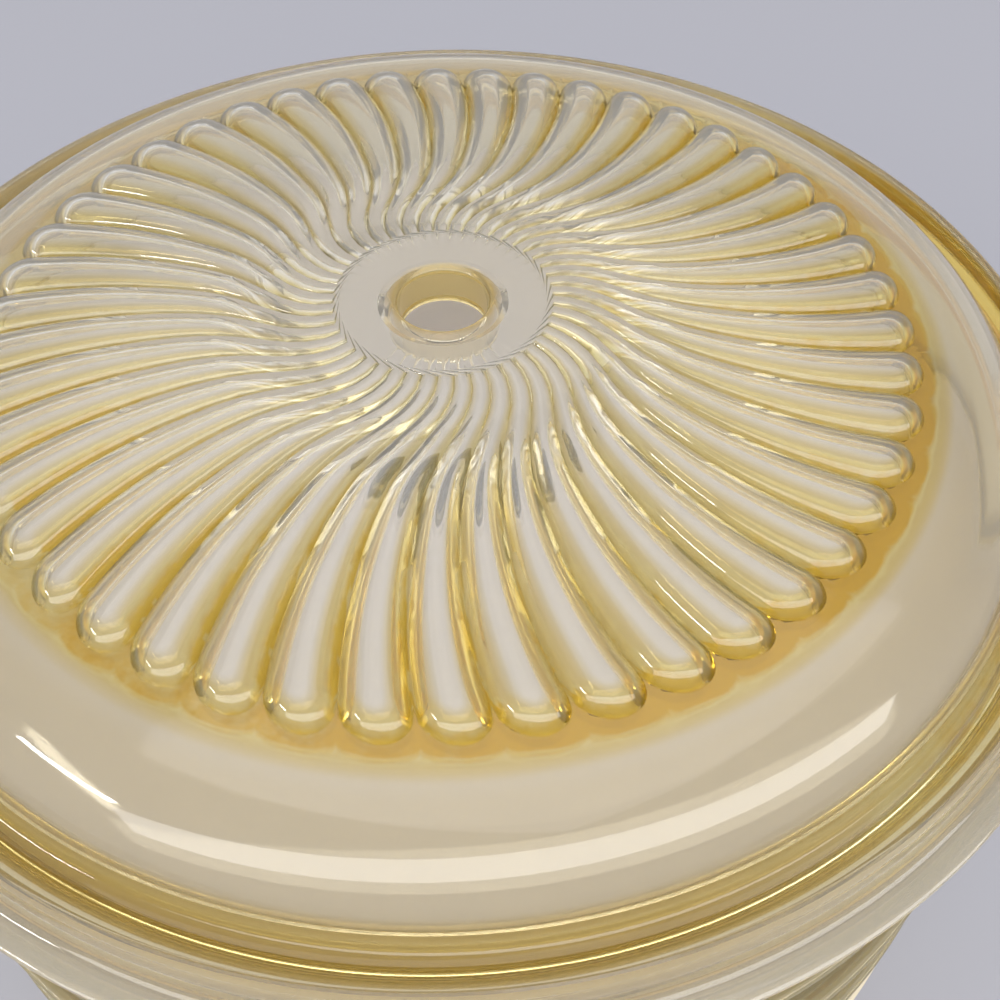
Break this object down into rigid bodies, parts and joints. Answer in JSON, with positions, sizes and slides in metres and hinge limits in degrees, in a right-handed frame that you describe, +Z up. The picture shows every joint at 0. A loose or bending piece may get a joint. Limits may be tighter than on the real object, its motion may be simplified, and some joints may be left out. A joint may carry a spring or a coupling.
{
  "type": "food dehydrator",
  "caption": "Round stackable food dehydrator: fan-heated base with knob and rocker, slotted clear trays and a swirl-fluted clear amber lid with a centre vent.",
  "frame": {"origin": "on the vertical axis, at the surface the four feet stand on", "axes": "+Z up along the stack, -Y out of the control panel, +Y out of the power inlet, +X to the right seen from the front"},
  "size_m": [0.3356, 0.3348, 0.2621],
  "materials": {
    "clear_amber": "clear pale amber styrene, polished",
    "pale_sheet": "pale satin polypropylene",
    "casing": "almond ABS, fine satin texture",
    "black_plastic": "black moulded plastic",
    "rubber": "dark grey rubber",
    "steel": "zinc-plated sheet and screws",
    "heater_steel": "heat-darkened sheathed element",
    "ceramic": "white unglazed ceramic",
    "brass": "machined brass",
    "lamp": "red lamp lens",
    "lead_insulation": "grey wire insulation"
  },
  "bodies": {
    "base": {"base_housing": "casing", "bottom_plate": "casing", "air_deck": "casing", "control_panel": "casing", "switch_body": "black_plastic", "power_inlet": "black_plastic", "foot_1": "rubber", "foot_2": "rubber", "foot_3": "rubber", "foot_4": "rubber", "housing_screw_1": "steel", "housing_screw_2": "steel", "housing_screw_3": "steel", "housing_screw_4": "steel", "deck_screw_1": "steel", "deck_screw_2": "steel", "deck_screw_3": "steel", "motor_screw_1": "steel", "motor_screw_2": "steel", "motor_screw_3": "steel", "air_duct": "steel", "heater_bracket": "steel", "motor_bracket": "steel", "motor_body": "steel", "thermostat_body": "steel", "thermal_cutout": "steel", "heating_element": "heater_steel", "heater_insulator_1": "ceramic", "heater_insulator_2": "ceramic", "heater_insulator_3": "ceramic", "terminal_block": "ceramic", "inlet_pin_1": "brass", "inlet_pin_2": "brass", "indicator_lens": "lamp", "mains_lead_1": "lead_insulation", "mains_lead_2": "lead_insulation", "switch_lead": "lead_insulation", "thermostat_lead": "lead_insulation", "heater_lead": "lead_insulation"},
    "fan": {"fan_impeller": "black_plastic", "motor_shaft": "steel", "fan_nut": "brass"},
    "knob": {"thermostat_knob": "black_plastic", "thermostat_spindle": "brass"},
    "rocker": {"power_rocker": "black_plastic"},
    "tray_1": {"tray_1": "clear_amber"},
    "tray_2": {"tray_2": "clear_amber"},
    "tray_3": {"tray_3": "clear_amber"},
    "tray_4": {"tray_4": "clear_amber", "fruit_sheet": "pale_sheet"},
    "lid": {"lid_cover": "clear_amber"}
  },
  "joints": [
    {"name": "tray_1_lift", "type": "slide", "parent": "base", "child": "tray_1", "axis": [0, 0, 1], "range_m": [0, 0.1]},
    {"name": "tray_2_lift", "type": "slide", "parent": "tray_1", "child": "tray_2", "axis": [0, 0, 1], "range_m": [0, 0.1]},
    {"name": "tray_3_lift", "type": "slide", "parent": "tray_2", "child": "tray_3", "axis": [0, 0, 1], "range_m": [0, 0.1]},
    {"name": "tray_4_lift", "type": "slide", "parent": "tray_3", "child": "tray_4", "axis": [0, 0, 1], "range_m": [0, 0.1]},
    {"name": "lid_lift", "type": "slide", "parent": "tray_4", "child": "lid", "axis": [0, 0, 1], "range_m": [0, 0.1]},
    {"name": "fan_spin", "type": "hinge", "parent": "base", "child": "fan", "pos_m": [0, 0, 0.056], "axis": [0, 0, 1], "continuous": true},
    {"name": "knob_turn", "type": "hinge", "parent": "base", "child": "knob", "pos_m": [-0.022, -0.1568, 0.041], "axis": [0, 1, 0], "range_deg": [0, 270]},
    {"name": "rocker_tilt", "type": "hinge", "parent": "base", "child": "rocker", "pos_m": [0.022, -0.15175, 0.041], "axis": [-1, 0, 0], "range_deg": [0, 14]}
  ]
}
